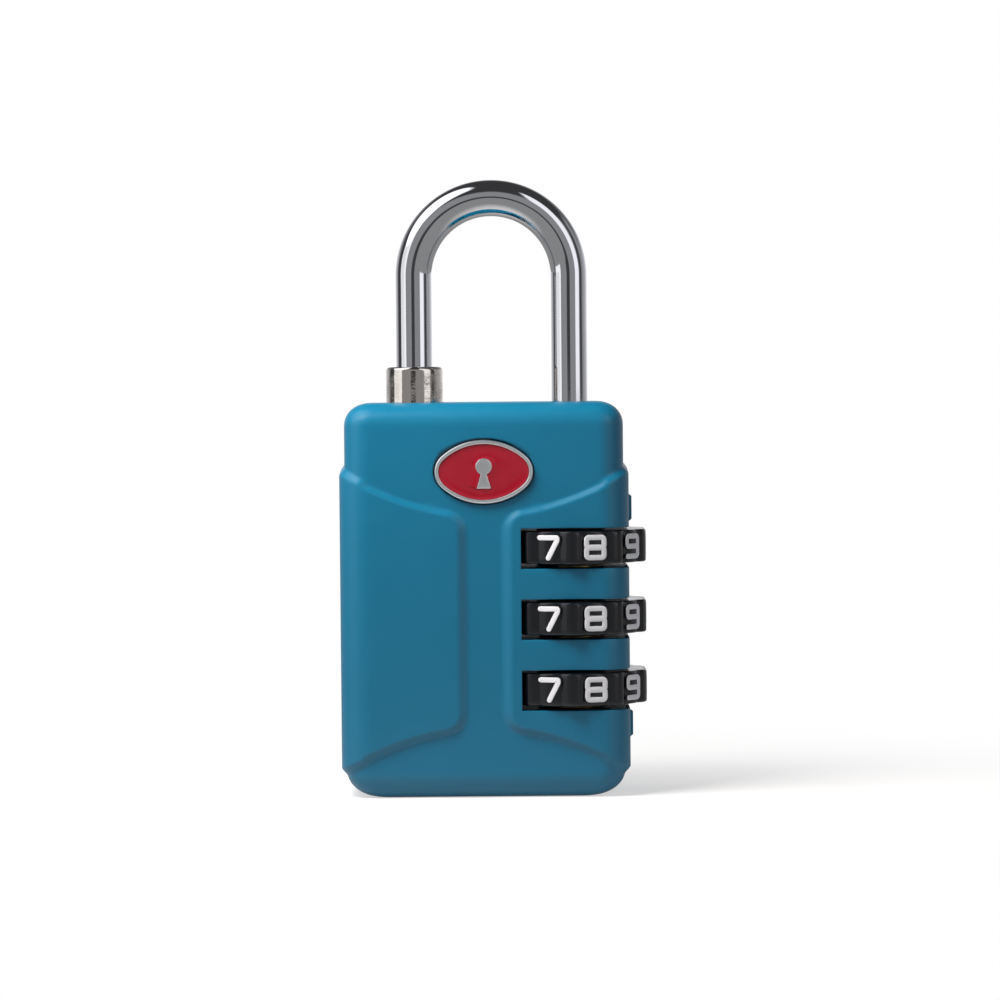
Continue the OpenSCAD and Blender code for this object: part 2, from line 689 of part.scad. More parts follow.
// Cam on the plug's tang, with an off-centre pin that moves the release slide
module cam()
  color("#9a9da0") translate([cyl_x, 0, 0]) difference() {
    union() {
      post(0, 3.0, [cyl_top + small, yoke_z - 0.7]);
      translate([pin_at, pin_at, cyl_top + 0.5])
        cylinder(d = cam_pin_d, h = yoke_z + plate_t - cyl_top - 0.6);
    }
    block([-tang / 2 - 0.02, tang / 2 + 0.02], [-tang / 2 - 0.02, tang / 2 + 0.02],
          [cyl_top - over, yoke_z]);
  }

module cam_clip()
  color("#77797c") difference() {
    tube(cyl_x, 0.43, 1.1, [yoke_z - 0.47, yoke_z - 0.23]);
    block([cyl_x - 2, cyl_x], [-0.3, 0.3], [yoke_z - over, yoke_z]);
  }

// Bent plate: a yoke over the cam, a riser, and two arms that hold the thrust ring down
module release_slide()
  color("#a9acb0") difference() {
    union() {
      block([cyl_x - 2.9, riser_x + 0.8], [-slide_y, slide_y], [yoke_z, yoke_z + plate_t]);
      block([riser_x, riser_x + 0.8], [-slide_y, slide_y], [yoke_z, arm_z + plate_t]);
      block([riser_x, riser_x + 2.6], [-arm_out_y, arm_out_y], [arm_z, arm_z + plate_t]);
      for (s = [0, 1]) mirror([0, s, 0])
        block([riser_x + 2, arm_tip_x], [arm_in_y, arm_out_y], [arm_z, arm_z + plate_t]);
    }
    block([cyl_x + pin_at - cam_pin_d / 2 - 0.12, cyl_x + pin_at + cam_pin_d / 2 + 0.12],
          [pin_at - cam_pin_d / 2 - 0.2, cam_throw + cam_pin_d / 2 + 0.2],
          [yoke_z - over, yoke_z + plate_t + over]);
  }

// Spring that keeps the arms over the thrust ring
module release_spring()
  color("#c9c9c9") translate([boss_end_x + 0.05, 0, release_spring_z]) rotate([0, 90, 0])
    coil(0.85, 0.15, riser_x - boss_end_x - 0.1, 7, 14);

// ---- the badge ----

module keyhole() {
  translate([0, 0.55]) circle(0.85);
  polygon([[-0.3, 0.2], [0.3, 0.2], [0.75, -1.75], [-0.75, -1.75]]);
}

// A flat X-Z shape, from front to front + depth along Y, at the badge's centre
module badge_layer(front, depth)
  translate([0, front + depth, badge_z]) rotate([90, 0, 0]) linear_extrude(height = depth) children();

module badge_inside() oval(badge_w - 2 * badge_rim, badge_h - 2 * badge_rim, badge_end_r - badge_rim);

// Oval plate with a raised rim and a raised keyhole
module badge_plate()
  color("#c4c6c9") difference() {
    badge_layer(badge_y, badge_t - 0.05) oval(badge_w, badge_h, badge_end_r);
    badge_layer(badge_y - over, over + enamel_t + enamel_sunk)
      difference() {
        badge_inside();
        keyhole();
      }
  }

// Red enamel that fills the plate round the keyhole
module badge_enamel()
  color("#b0263a") badge_layer(badge_y + enamel_sunk, enamel_t)
    difference() {
      badge_inside();
      keyhole();
    }

front_shell();
rear_shell();
shell_pins();
chassis();
shackle_collar();
leg_bush();
shackle();
lock_spindle();
spindle_pin();
retaining_clip();
shackle_spring();
spring_peg();
dial_1();
dial_2();
dial_3();
sleeve_1();
sleeve_2();
sleeve_3();
thrust_ring();
reset_spring();
detent_spring();
detent_rivets();
cylinder_shell();
key_plug();
wafers();
wafer_springs();
cam();
cam_clip();
release_slide();
release_spring();
badge_plate();
badge_enamel();
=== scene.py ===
"""Looks of the travel padlock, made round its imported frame.

Blender works in metres. Shapes are worked out in millimetres and turned to metres when a mesh
is made. +X is to the right, -Y is the front and +Z is up; the base stands on Z = 0.
"""
import json

import bpy
import numpy as np
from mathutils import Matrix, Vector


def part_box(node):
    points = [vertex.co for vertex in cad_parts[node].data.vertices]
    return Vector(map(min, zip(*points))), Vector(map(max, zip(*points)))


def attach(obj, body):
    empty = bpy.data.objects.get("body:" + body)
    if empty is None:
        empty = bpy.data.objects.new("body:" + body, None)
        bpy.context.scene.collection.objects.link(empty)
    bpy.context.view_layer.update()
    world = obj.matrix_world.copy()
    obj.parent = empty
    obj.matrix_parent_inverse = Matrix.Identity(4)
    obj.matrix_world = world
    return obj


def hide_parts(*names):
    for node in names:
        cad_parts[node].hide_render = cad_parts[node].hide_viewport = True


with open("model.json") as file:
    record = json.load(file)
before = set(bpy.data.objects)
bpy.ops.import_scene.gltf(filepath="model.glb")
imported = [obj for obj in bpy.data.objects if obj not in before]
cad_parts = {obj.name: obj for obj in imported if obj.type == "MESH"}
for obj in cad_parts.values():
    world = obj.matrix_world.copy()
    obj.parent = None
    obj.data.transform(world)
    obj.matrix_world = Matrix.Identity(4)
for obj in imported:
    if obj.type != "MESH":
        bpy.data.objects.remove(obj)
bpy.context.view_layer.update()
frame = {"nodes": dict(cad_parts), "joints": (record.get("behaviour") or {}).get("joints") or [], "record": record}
MM = 0.001


def box_mm(node):
    """Lowest and highest corner of a CAD node, in millimetres."""
    return [np.array(corner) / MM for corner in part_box(node)]


# ---- sizes, from the frame ----

joints = {j["name"]: j for j in frame["joints"]}
dial_x = joints["dial_1_spin"]["pos_m"][0] / MM
key_x = joints["key_plug_turn"]["pos_m"][0] / MM
shell_low, shell_high = box_mm("front_shell")
pad_x = -shell_low[0]                 # sides of the raised pads
pad_y = -shell_low[1]                 # faces of the raised pads
body_top = shell_high[2]
mark_proud = shell_high[0] - pad_x    # how far the index marks stand out
rod_low, rod_high = box_mm("shackle")
rod_r = rod_high[1]
long_x = dial_x
short_x = rod_low[0] + rod_r
arch_x = (long_x + short_x) / 2
arch_r = (long_x - short_x) / 2
arch_z = rod_high[2] - rod_r - arch_r
collar_low, collar_high = box_mm("shackle_collar")
shackle_rise = joints["shackle_lift"]["range_m"][1] / MM
badge_low, badge_high = box_mm("badge_plate")
badge_z = (badge_low[2] + badge_high[2]) / 2
badge_w = badge_high[0] - badge_low[0]
badge_h = badge_high[2] - badge_low[2]
dials = ["dial_1", "dial_2", "dial_3"]
dial_boxes = {d: box_mm(d) for d in dials}
dial_mid = {d: (b[0][2] + b[1][2]) / 2 for d, b in dial_boxes.items()}
dial_flat = dial_boxes["dial_1"][1][0] - dial_x        # axis to the middle of a flat

# ---- sizes that the frame doesn't give ----

PAD_PROUD = 0.5          # pads in front of the body's face
PAD_SIDE = 0.55          # pads out of the body's sides
CORE_X = pad_x - PAD_SIDE
CORE_Y = pad_y - PAD_PROUD
EDGE_R = 2.6             # upright edges
BASE_ROUND = (3.6, 1.9, 2.7)     # base edge: reach along X, along Y, and height
TOP_ROUND = (2.5, 2.4, 2.3)      # top edge: the same
CHANNEL = 2.07           # half the width of the sunk channel
PAD_MID_Z = 18.3
PAD_HALF = 11.5
PAD_CORNER = 2.1
PAD_CURVE = (30.0, 1.2)  # radius of the pads' long curves, and how far past the middle its centre is
SLOT_X = dial_x - 5.25   # left end of the dial slots on the face
SLOT_HALF = 2.075
POCKET_R = 8.33
STACK_R = 3.3            # bore for the sleeves
WALL = 1.45
THIN_WALL = 0.5          # wall beside the dial pockets
SEAT_GAP = 0.14          # gap round the badge
COLLAR_R = 3.0
TIP_CLEAR = 0.65         # short leg's tip above the collar when the shackle is up
CYLINDER_HOLE = 3.9
BADGE_END_R = 2.2
BOSS_UP, BOSS_DOWN = 0.22, 0.42      # bosses above and below a dial's rim
slot_mid = [dial_mid[d] for d in dials]
MARK_H, MARK_GAP = 3.0, 0.4          # index marks, and their gap to the slots
# bottoms of the two marks
MARKS = [slot_mid[0] + SLOT_HALF + MARK_GAP, slot_mid[2] - SLOT_HALF - MARK_GAP - MARK_H]


# ---- materials ----

def linear(hex_colour):
    """sRGB hex to linear RGBA: each part is ((c + 0.055) / 1.055) to the power 2.4, or c / 12.92
    when it is dark."""
    c = np.array([int(hex_colour[i:i + 2], 16) / 255 for i in (1, 3, 5)])
    c = np.where(c > 0.04045, ((c + 0.055) / 1.055) ** 2.4, c / 12.92)
    return (*c.tolist(), 1.0)


def add(tree, kind, sockets=None, **settings):
    """Adds a node, sets its properties, and sets or links its sockets."""
    node = tree.nodes.new(kind)
    for name, value in settings.items():
        setattr(node, name, value)
    for key, value in (sockets or {}).items():
        if isinstance(value, bpy.types.NodeSocket):
            tree.links.new(value, node.inputs[key])
        else:
            node.inputs[key].default_value = value
    return node


def per_mm(size):
    """Noise scale whose features are about size millimetres across, on Object coordinates in metres."""
    return 1 / (size * MM)


def finish(name, colour, shade, rough, grain_mm, bump_mm, mottle_mm=4.0, spread=0.1,
           stretch=(1, 1, 1), **sockets):
    """A moulded, cast or plated surface: two close shades and a roughness that drift over
    mottle_mm, and a grain of grain_mm that stands bump_mm high."""
    material = bpy.data.materials.new(name)
    material.use_nodes = True
    tree = material.node_tree
    tree.nodes.clear()
    place = add(tree, "ShaderNodeTexCoord").outputs["Object"]
    place = add(tree, "ShaderNodeMapping", {"Vector": place, "Scale": stretch}).outputs["Vector"]
    drift = add(tree, "ShaderNodeTexNoise", {"Vector": place, "Scale": per_mm(mottle_mm), "Detail": 3.0})
    grain = add(tree, "ShaderNodeTexNoise", {"Vector": place, "Scale": per_mm(grain_mm), "Detail": 4.0})
    tone = add(tree, "ShaderNodeMix", {"Factor": drift.outputs["Fac"]}, data_type="RGBA")
    for key, value in (("A", colour), ("B", shade)):
        next(s for s in tone.inputs if s.name == key and s.type == "RGBA").default_value = linear(value)
    out_colour = next(s for s in tone.outputs if s.type == "RGBA")
    sheen = add(tree, "ShaderNodeMapRange", {"Value": drift.outputs["Fac"], "From Min": 0.3, "From Max": 0.7,
                                             "To Min": rough * (1 - spread), "To Max": rough * (1 + spread)})
    bump = add(tree, "ShaderNodeBump", {"Height": grain.outputs["Fac"], "Strength": 1.0,
                                        "Distance": bump_mm * MM})
    shader = add(tree, "ShaderNodeBsdfPrincipled", {
        "Base Color": out_colour, "Roughness": sheen.outputs["Result"], "Normal": bump.outputs["Normal"]})
    for key, value in sockets.items():
        shader.inputs[key.replace("_", " ")].default_value = value
    add(tree, "ShaderNodeOutputMaterial", {"Surface": shader.outputs["BSDF"]})
    return material


# Injection-moulded ABS from a finely blasted mould: a satin skin whose highlights are broad
abs_shell = finish("moulded_teal_abs", "#065B79", "#085F7E", 0.40, 0.16, 0.003, IOR=1.47)
# The same plastic in charcoal from a smoother mould: sharper highlights
abs_dial = finish("moulded_charcoal_abs", "#07090D", "#0A0D12", 0.24, 0.14, 0.002, IOR=1.5)
# Pad-printed ink in the moulded numbers: matt, and slightly uneven
number_ink = finish("printed_grey_ink", "#BFC0C6", "#CBCCD1", 0.5, 0.10, 0.004, mottle_mm=0.8)
# Decorative chrome on drawn steel wire: a mirror with faint waves along the wire
chrome = finish("chrome_plated_wire", "#CBCCD0", "#D2D3D6", 0.05, 1.6, 0.004, spread=0.2,
                stretch=(1, 1, 0.4), Metallic=1.0)
# Nickel on an untouched casting: bright, a little warm, and lumpy
cast_nickel = finish("nickel_plated_casting", "#C9C3BD", "#D2CDC8", 0.07, 0.25, 0.005, mottle_mm=1.0,
                     spread=0.5, Metallic=1.0)
# Die-cast zinc as it comes from the die: dull grey with flow marks
zinc = finish("die_cast_zinc", "#8B8D90", "#9A9C9E", 0.45, 0.3, 0.01, mottle_mm=2.0, Metallic=1.0)
# Turned brass: fine rings round the upright axis
brass = finish("turned_brass", "#B8954F", "#C7A55C", 0.25, 0.12, 0.004, stretch=(0.15, 0.15, 1), Metallic=1.0)
# Hard-drawn spring wire, bright
spring_wire = finish("drawn_spring_steel", "#A9ABAE", "#BABCBF", 0.22, 0.1, 0.003, Metallic=1.0)
# Plain machined steel
steel = finish("machined_steel", "#9DA0A4", "#AEB1B4", 0.3, 0.12, 0.003, Metallic=1.0)
# Satin-plated stamping of the badge
badge_metal = finish("satin_plated_stamping", "#DCDDDF", "#E4E5E6", 0.42, 0.12, 0.003, Metallic=1.0)
# Vitreous red enamel: deep colour and a glassy face
enamel = finish("red_enamel", "#7C0D1C", "#8C1627", 0.10, 0.8, 0.002, mottle_mm=1.6, IOR=1.46)

SLOT_MATERIALS = {"shell_plastic": abs_shell, "dial_plastic": abs_dial, "shackle_chrome": chrome,
                  "cast_nickel": cast_nickel, "cast_zinc": zinc, "brass": brass,
                  "spring_steel": spring_wire, "steel": steel, "badge_metal": badge_metal,
                  "badge_enamel": enamel}
node_slot = {s["node"]: s["material_slot"] for s in frame["record"]["subparts"]}
for node_name, cad_object in frame["nodes"].items():
    cad_object.data.materials.clear()
    cad_object.data.materials.append(SLOT_MATERIALS[node_slot[node_name]])


# ---- mesh making ----

def grid_faces(rows, cols, wrap_rows=False, wrap_cols=False):
    """Quads of a rows x cols grid of points as an array, joined up at the ends where asked."""
    r = np.arange(rows if wrap_rows else rows - 1)
    c = np.arange(cols if wrap_cols else cols - 1)
    r, c = np.meshgrid(r, c, indexing="ij")
    r1, c1 = (r + 1) % rows, (c + 1) % cols
    return np.stack([r * cols + c, r * cols + c1, r1 * cols + c1, r1 * cols + c], -1).reshape(-1, 4)


def surface(points, wrap_rows=False, wrap_cols=False, keep=None):
    """(vertices, quads) of a grid of points; keep is a mask of the quads that stay."""
    rows, cols = points.shape[:2]
    faces = grid_faces(rows, cols, wrap_rows, wrap_cols)
    if keep is not None:
        faces = faces[keep.reshape(-1)]
    return points.reshape(-1, 3), faces


def outward(shape):
    """Turns a closed surface's faces so that its volume, the sum of each face's signed cone, is positive."""
    v, f = shape
    a, b, c, d = (v[f[:, i]] for i in range(4))
    volume = (np.einsum("ij,ij->i", a, np.cross(b, c)) + np.einsum("ij,ij->i", a, np.cross(c, d))).sum()
    return (v, f if volume > 0 else f[:, ::-1])


def piece(name, shapes, material, body, replaces=(), merge=0.0005):
    """One object from a list of (vertices, quads) in millimetres, shaded smooth, riding on a body."""
    start = 0
    all_v, all_f = [], []
    for v, f in shapes:
        all_v.append(v)
        all_f.append(f + start)
        start += len(v)
    mesh = bpy.data.meshes.new(name)
    mesh.from_pydata((np.concatenate(all_v) * MM).tolist(), [], np.concatenate(all_f).tolist())
    mesh.validate()
    obj = bpy.data.objects.new(name, mesh)
    bpy.context.collection.objects.link(obj)
    if merge:
        weld = obj.modifiers.new("weld", "WELD")
        weld.merge_threshold = merge * MM
    mesh.materials.append(material)
    mesh.shade_smooth()
    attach(obj, body)
    if replaces:
        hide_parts(*replaces)
    return obj


def keep_creases(obj, degrees=35):
    """Shades edges sharper than this angle as creases."""
    obj.data.set_sharp_from_angle(angle=np.radians(degrees))


def thicken(obj, size):
    """Grows a sheet inwards to a closed piece."""
    wall = obj.modifiers.new("wall", "SOLIDIFY")
    wall.thickness, wall.offset = size * MM, -1


def steps(*stops):
    """Increasing positions through stops, given as position, spacing, position, spacing, ..., position."""
    out = [np.array([stops[0]])]
    for a, gap, b in zip(stops[0:-1:2], stops[1::2], stops[2::2]):
        out.append(np.linspace(a, b, max(1, int(round((b - a) / gap))) + 1)[1:])
    return np.concatenate(out)


def smooth(x):
    """Smooth step from 0 at x = 0 to 1 at x = 1."""
    x = np.clip(x, 0, 1)
    return x * x * (3 - 2 * x)


# ---- the two shells ----

def oval(t, grow=0.0):
    """Points of the badge's oval at normal angles t: centre of the arc that t falls on, plus its
    radius times (cos t, sin t). The ends have a small radius and the sides a large one."""
    a, b = badge_w / 2 - BADGE_END_R, badge_h / 2
    side_r = (a * a + b * b - BADGE_END_R ** 2) / (2 * (b - BADGE_END_R))
    meet = np.arctan2(side_r - b, a)
    on_end = np.abs(np.cos(t)) >= np.cos(meet)
    x = np.where(on_end, np.sign(np.cos(t)) * a, 0.0)
    z = np.where(on_end, 0.0, -np.sign(np.sin(t)) * (side_r - b))
    r = np.where(on_end, BADGE_END_R, side_r) + grow
    return x + r * np.cos(t), z + r * np.sin(t)


def pad_relief(x, z, side):
    """How far the skin stands out of the core. x is the distance from the middle measured along the
    face, z the height, and side runs from 0 on the face to 1 at the seam. The edge distance is the
    least of the distances to the channel and to the long curve, rounded where they meet, and the
    relief is a smooth step of it."""
    radius, past = PAD_CURVE
    corner = CHANNEL + PAD_CORNER
    rise = radius - np.sqrt(radius ** 2 - (np.minimum(x, pad_x) + past) ** 2)
    rise -= radius - np.sqrt(radius ** 2 - (corner + past) ** 2)
    rise = np.where(x < corner, 0.0, rise) + 0.4 * side
    slope = (np.minimum(x, pad_x) + past) / radius
    up = (PAD_HALF + rise - np.abs(z - PAD_MID_Z)) * np.cos(np.arcsin(slope))
    across = x - CHANNEL
    rounded = PAD_CORNER - np.hypot(PAD_CORNER - across, PAD_CORNER - up)
    in_corner = (across < PAD_CORNER) & (up < PAD_CORNER)
    distance = np.where(in_corner, rounded, np.minimum(across, up))
    soft = 0.75 + 0.6 * smooth((up - across) / 2 / PAD_CORNER + 0.5)     # width of the slope up to the pad
    soft = soft + side * (0.9 - soft)
    return smooth(distance / soft + 0.35)


def mark_relief(y, z, side):
    """The index marks beside the seam: a flat of 0.7 mm either side, with steep slopes."""
    across = smooth((0.75 - y) / 0.16) * (side > 0)
    along = np.zeros_like(z)
    for low in MARKS:
        along = np.maximum(along, smooth((z - low) / 0.3) * smooth((low + MARK_H - z) / 0.3))
    return across * along * mark_proud


def seam_curve(row, holes):
    """Where each point of an end row meets the seam plane. The points are shared out along the seam by
    their distance along the row, and those beside a hole (x, radius) go round its front half."""
    along = np.append(0, np.cumsum(np.hypot(*np.diff(row[:, :2], axis=0).T)))
    along -= along[-1] / 2
    knots = [along[0]] + [x + k * (r + 1) for x, r in holes for k in (-1, 1)] + [along[-1]]
    places = [row[0, 0] + 0.35] + [x + k * r for x, r in holes for k in (-1, 1)] + [row[-1, 0] - 0.35]
    sx = np.interp(along, knots, places)
    sy = 0 * sx
    for x, r in holes:
        turn = np.pi * (along - x + r + 1) / (2 * r + 2)
        on = (turn > 0) & (turn < np.pi)
        sx, sy = np.where(on, x - r * np.cos(turn), sx), np.where(on, -r * np.sin(turn), sy)
    return sx, sy


BADGE_FIELD = (6.4, 4.1)     # half size of the patch whose grid lines bend round the badge
BADGE_RING = 0.75            # the share of the patch that the seat takes
SEAM = 0.01                  # each shell stops this far short of the middle
LIP = 0.1                    # rounding of the edges beside the seam and the dial slots


def shell_skin(with_badge):
    """The front shell's skin as one grid: rows from the seam on the base, over the base edge, up the
    body, over the top edge and back to the seam; columns from the left seam round the front to the
    right seam. Each row is a rounded rectangle drawn in at the two ends, moved out by the relief.
    Returns the points, the mask of quads that stay, and how thick the wall is, from 0 to 1."""
    half_x, half_z = BADGE_FIELD
    y_lines = steps(SEAM, LIP / 3, SEAM + LIP, 0.12, 1.0, 0.6, CORE_Y - EDGE_R)
    right = steps(0, 0.35, 1.4, 0.15, SLOT_X - LIP, LIP / 3, SLOT_X, 0.15, half_x * BADGE_RING,
                  0.2, half_x, 0.3, CORE_X - EDGE_R)
    x_lines = np.concatenate([-right[:0:-1], right])
    turn = np.linspace(0, np.pi / 2, 13)[1:-1]

    n_side, n_turn, n_face = len(y_lines), len(turn), len(x_lines)
    base_angle = np.linspace(0, np.pi / 2, 25)
    top_angle = np.linspace(0, np.pi / 2, 11)
    edges = [z for m in slot_mid[::-1] for z in (m - SLOT_HALF, m + SLOT_HALF)]
    lip = LIP / 3                                    # spacing of the rows that round a lip
    z_rows = steps(BASE_ROUND[2], 0.15, edges[0] - LIP, lip, edges[0], 0.8,
                   edges[1], lip, edges[1] + LIP, 0.8, edges[2] - LIP, lip, edges[2], 0.8,
                   edges[3], lip, edges[3] + LIP, 0.8, edges[4] - LIP, lip, edges[4], 0.8,
                   edges[5], lip, edges[5] + LIP, 0.15, badge_z - half_z, 0.15, badge_z - half_z * BADGE_RING,
                   0.13, 35.8, 0.3, badge_z + half_z * BADGE_RING, 0.2, badge_z + half_z, 0.3,
                   body_top - TOP_ROUND[2])
    z = np.concatenate([BASE_ROUND[2] * (1 - np.cos(base_angle)), z_rows[1:-1],
                        body_top - TOP_ROUND[2] * (1 - np.cos(top_angle[::-1]))])
    lean = np.concatenate([1 - np.sin(base_angle), np.zeros(len(z_rows) - 2), 1 - np.sin(top_angle[::-1])])
    at_base = z < body_top / 2
    in_x = lean * np.where(at_base, BASE_ROUND[0], TOP_ROUND[0])
    in_y = lean * np.where(at_base, BASE_ROUND[1], TOP_ROUND[1])
    half_w, half_d = CORE_X - in_x, CORE_Y - in_y
    r = EDGE_R - 0.75 * np.minimum(in_x, in_y)

    # columns: (nx, ny) the outward direction, and the place on the section
    side_f = y_lines / (CORE_Y - EDGE_R)
    face_f = x_lines / (CORE_X - EDGE_R)
    one = np.ones((len(z), 1))
    w, d, rr = half_w[:, None], half_d[:, None], r[:, None]
    left_x, left_y = -w * one * np.ones(n_side), -(d - rr) * side_f
    turn_x, turn_y = -(w - rr) - rr * np.cos(turn), -(d - rr) - rr * np.sin(turn)
    face_x, face_y = (w - rr) * face_f, -d * np.ones(n_face)
    x = np.concatenate([left_x, turn_x, face_x, -turn_x[:, ::-1], -left_x[:, ::-1]], 1)
    y = np.concatenate([left_y, turn_y, face_y, turn_y[:, ::-1], left_y[:, ::-1]], 1)
    sides, flat = np.ones(n_side), np.ones(n_face)
    nx = np.concatenate([-sides, -np.cos(turn), 0 * flat, np.cos(turn)[::-1], sides])
    ny = np.concatenate([0 * sides, -np.sin(turn), -flat, -np.sin(turn)[::-1], 0 * sides])
    zz = z[:, None] * np.ones(x.shape[1])

    # bend the grid round the badge: squares about its middle become ovals
    keep_badge = np.ones((len(z) - 1, x.shape[1] - 1), bool)
    if with_badge:
        p, q = x / half_x, (zz - badge_z) / half_z
        m = np.maximum(np.abs(p), np.abs(q))
        inside = (m < 1) & (ny[None, :] < -0.99)
        ms = np.maximum(m, 1e-9)
        t = np.where(np.abs(p) >= np.abs(q), np.pi / 4 * q / np.where(np.abs(p) < 1e-9, 1e-9, p),
                     np.pi / 2 - np.pi / 4 * p / np.where(np.abs(q) < 1e-9, 1e-9, q))
        t = np.where(np.abs(p) >= np.abs(q), np.where(p < 0, t + np.pi, t), np.where(q < 0, t + np.pi, t))
        ox, oz = oval(t, SEAT_GAP)
        f = np.clip((m - BADGE_RING) / (1 - BADGE_RING), 0, 1)
        x = np.where(inside, ox + (p / ms * half_x - ox) * f, x)
        zz = np.where(inside, badge_z + oz + (q / ms * half_z - oz) * f, zz)
        hole = (m <= BADGE_RING + 1e-6) & (ny[None, :] < -0.99)
        keep_badge = ~(hole[:-1, :-1] & hole[1:, :-1] & hole[:-1, 1:] & hole[1:, 1:])

    side = smooth(np.concatenate([1 - side_f, 0 * turn, 0 * face_f, 0 * turn, 1 - side_f[::-1]]))[None, :]
    on_face = np.abs(ny[None, :]) > 0.99
    from_middle = np.abs(np.where(on_face, x, pad_x - (1 - np.abs(nx)) * EDGE_R))
    pads = pad_relief(from_middle, zz, side)
    relief_x, relief_y = PAD_SIDE * pads, PAD_PROUD * pads
    relief_x = relief_x + mark_relief(-y, zz, (nx > 0.99)[None, :] * 1.0)
    x = x + nx * relief_x
    y = y + ny * relief_y

    # round the lips: close to an edge the skin sinks as a quarter circle does
    beside = np.maximum(-y - SEAM, 0)
    for m in slot_mid:
        past_end, past_edge = np.maximum(SLOT_X - x, 0), np.maximum(np.abs(zz - m) - SLOT_HALF, 0)
        beside = np.minimum(beside, np.hypot(past_end, past_edge))
    sunk = LIP * (1 - np.sqrt(1 - np.clip(1 - beside / LIP, 0, 1) ** 2))
    x, y = x - nx * sunk, np.minimum(y - ny * sunk, -SEAM)
    body_rows = np.stack([x, y, zz], -1)

    def cap(row, holes, rows=7):
        """Flat end: straight lines from the end row to the seam curve with its holes."""
        sx, sy = seam_curve(row, holes)
        seam = np.stack([sx, sy - SEAM, row[:, 2]], -1)
        f = np.linspace(0, 1, rows + 1)[1:, None, None]
        return row[None] + (seam[None] - row[None]) * f

    base = cap(body_rows[0], [(key_x, CYLINDER_HOLE)])[::-1]
    top = cap(body_rows[-1], [(short_x, COLLAR_R + 0.07), (long_x, rod_r + 0.2)])
    points = np.concatenate([base, body_rows, top])

    keep = np.ones((len(points) - 1, points.shape[1] - 1), bool)
    keep[len(base):len(base) + len(z) - 1] &= keep_badge
    mid_z = (points[:-1, 0, 2] + points[1:, 0, 2]) / 2
    in_slot = np.zeros(len(mid_z), bool)
    for m in slot_mid:
        in_slot |= np.abs(mid_z - m) < SLOT_HALF
    first = n_side + n_turn + int(np.searchsorted(x_lines, SLOT_X - 1e-6))
    keep[in_slot, first:] = False
    thick = smooth((SLOT_X - 0.6 - points[..., 0]) / 2)
    thick = np.where((points[..., 2] < 8) | (points[..., 2] > 29), 1.0, thick)
    return points, keep, thick


def shell_piece(points, keep, thick, name, node):
    """The skin as a piece with its wall grown inwards."""
    made = piece(name, [surface(points, keep=keep)], abs_shell, "body", [node], merge=0)
    group = made.vertex_groups.new(name="wall")
    values = (THIN_WALL / WALL + (1 - THIN_WALL / WALL) * thick).reshape(-1)
    for level in np.unique(np.round(values, 2)):
        group.add(np.nonzero(np.round(values, 2) == level)[0].tolist(), float(level), "REPLACE")
    wall = made.modifiers.new("wall", "SOLIDIFY")
    wall.thickness = WALL * MM
    wall.offset = -1
    wall.vertex_group = "wall"
    wall.use_rim = True


def prism(curve_a, curve_b, z0, z1):
    """Closed block between two plan curves with the same number of points, from z0 to z1: a ring of
    four corners (a low, b low, b high, a high) carried along the curves, with both ends closed."""
    ring = np.stack([np.column_stack([c, np.full(len(c), z)]) for c, z in
                     ((curve_a, z0), (curve_b, z0), (curve_b, z1), (curve_a, z1))], 1)
    v, f = surface(ring, wrap_cols=True)
    n = len(v)
    ends = np.array([[0, 1, 2, 3], [n - 1, n - 2, n - 3, n - 4]])
    return outward((v, np.concatenate([f, ends])))


def circle(cx, r, a, b, n):
    """Plan points of an arc about (cx, 0), from angle a to b in degrees."""
    t = np.radians(np.linspace(a, b, n))
    return np.column_stack([cx + r * np.cos(t), r * np.sin(t)])


def resample(points, n):
    """n points spread evenly by length along a line through points."""
    points = np.array(points, float)
    length = np.concatenate([[0], np.cumsum(np.linalg.norm(np.diff(points, axis=0), axis=1))])
    at = np.linspace(0, length[-1], n)
    return np.column_stack([np.interp(at, length, points[:, i]) for i in range(points.shape[1])])


def shell_ribs():
    """Blocks of the front shell between the dial slots, bored for the sleeves, and the wall behind
    the dial pockets. The shell is hollow elsewhere."""
    inset = THIN_WALL - 0.1
    x1, y1 = pad_x - inset, -(pad_y - inset)
    turn = circle(x1 - EDGE_R, EDGE_R, 0, -90, 13) + np.array([0, y1 + EDGE_R])
    left = dial_x - POCKET_R - 0.3
    outer = resample(np.concatenate([[[x1, -SEAM]], turn, [[left, y1 + 0.6], [left, -SEAM]]]), 60)
    bore = circle(dial_x, STACK_R, 0, -180, 60)
    bore[:, 1] = np.minimum(bore[:, 1], -SEAM)
    edges = [z for m in slot_mid[::-1] for z in (m - SLOT_HALF, m + SLOT_HALF)]
    shy = 0.01                       # the blocks end this far inside the skin's slot edges
    spans = [(edges[0] - 3.5, edges[0]), (edges[1], edges[2]), (edges[3], edges[4]),
             (edges[5], edges[5] + 1.9)]
    shapes = [prism(outer, bore, a + shy, b - shy) for a, b in spans]
    reach = np.degrees(np.arccos((SLOT_X - 0.3 - dial_x) / POCKET_R))
    pocket = circle(dial_x, POCKET_R, -180, -reach, 24)
    pocket[:, 1] = np.minimum(pocket[:, 1], -SEAM)
    back = resample([[left, -SEAM], [left, y1 + 0.6], [SLOT_X - 0.3, y1 + 0.35]], 24)
    for m in slot_mid:
        shapes.append(prism(back, pocket, m - SLOT_HALF - 0.2, m + SLOT_HALF + 0.2))
    return shapes


def to_back(shapes):
    """The same shapes turned to the back half: Y changes sign and the faces turn round."""
    return [(v * np.array([1, -1, 1]), f[:, ::-1]) for v, f in shapes]


